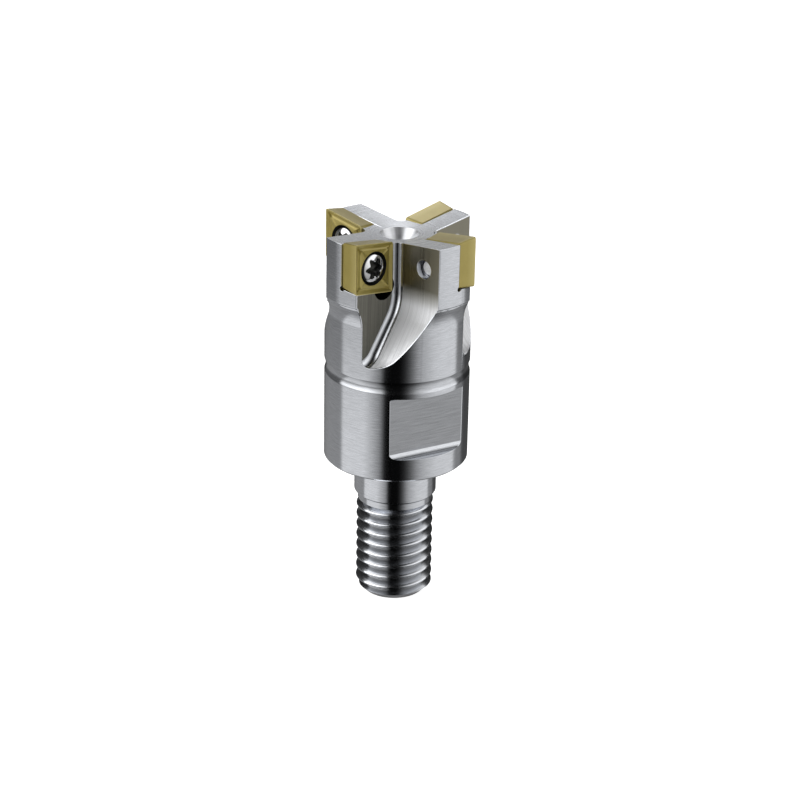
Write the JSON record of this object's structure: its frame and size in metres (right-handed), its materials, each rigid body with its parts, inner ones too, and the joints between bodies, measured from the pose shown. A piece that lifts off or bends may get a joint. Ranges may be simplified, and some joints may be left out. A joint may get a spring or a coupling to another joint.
{
  "type": "indexable face mill",
  "caption": "Screw-in shoulder face mill: steel head on a threaded stub, with clamped rhombic carbide inserts, wide chip flutes and wrench flats.",
  "frame": {"origin": "centre of the threaded stub's flat end face, on the tool axis", "axes": "+Z along the tool axis from the stub to the cutting end; +X along the radial line of the arm that carries insert_1; +Y along the arm that carries insert_2"},
  "size_m": [0.0242, 0.0242, 0.0593],
  "materials": {
    "tool_steel": "turned and milled, bright nickel finish with fine turning lines",
    "coated_carbide": "satin olive-gold hard coating on ground carbide",
    "screw_steel": "polished steel"
  },
  "bodies": {
    "cutter_body": {"cutter_body": "tool_steel"},
    "insert_1": {"insert_1": "coated_carbide"},
    "insert_2": {"insert_2": "coated_carbide"},
    "insert_3": {"insert_3": "coated_carbide"},
    "insert_4": {"insert_4": "coated_carbide"},
    "insert_screw_1": {"insert_screw_1": "screw_steel"},
    "insert_screw_2": {"insert_screw_2": "screw_steel"},
    "insert_screw_3": {"insert_screw_3": "screw_steel"},
    "insert_screw_4": {"insert_screw_4": "screw_steel"}
  },
  "joints": [
    {"name": "insert_lift_1", "type": "slide", "parent": "cutter_body", "child": "insert_1", "axis": [0, 1, 0], "range_m": [0, 0.003]},
    {"name": "screw_turn_1", "type": "hinge", "parent": "insert_1", "child": "insert_screw_1", "pos_m": [0.00836, 0, 0.05499], "axis": [0, 1, 0], "range_deg": [0, 2160]},
    {"name": "insert_lift_2", "type": "slide", "parent": "cutter_body", "child": "insert_2", "axis": [-1, 0, 0], "range_m": [0, 0.003]},
    {"name": "screw_turn_2", "type": "hinge", "parent": "insert_2", "child": "insert_screw_2", "pos_m": [0, 0.00836, 0.05499], "axis": [-1, 0, 0], "range_deg": [0, 2160]},
    {"name": "insert_lift_3", "type": "slide", "parent": "cutter_body", "child": "insert_3", "axis": [0, -1, 0], "range_m": [0, 0.003]},
    {"name": "screw_turn_3", "type": "hinge", "parent": "insert_3", "child": "insert_screw_3", "pos_m": [-0.00836, 0, 0.05499], "axis": [0, -1, 0], "range_deg": [0, 2160]},
    {"name": "insert_lift_4", "type": "slide", "parent": "cutter_body", "child": "insert_4", "axis": [1, 0, 0], "range_m": [0, 0.003]},
    {"name": "screw_turn_4", "type": "hinge", "parent": "insert_4", "child": "insert_screw_4", "pos_m": [0, -0.00836, 0.05499], "axis": [1, 0, 0], "range_deg": [0, 2160]}
  ],
  "couplings": [
    {"joint": "screw_turn_1", "follows": "insert_lift_1", "rad_per_m": 12566},
    {"joint": "screw_turn_2", "follows": "insert_lift_2", "rad_per_m": 12566},
    {"joint": "screw_turn_3", "follows": "insert_lift_3", "rad_per_m": 12566},
    {"joint": "screw_turn_4", "follows": "insert_lift_4", "rad_per_m": 12566}
  ]
}
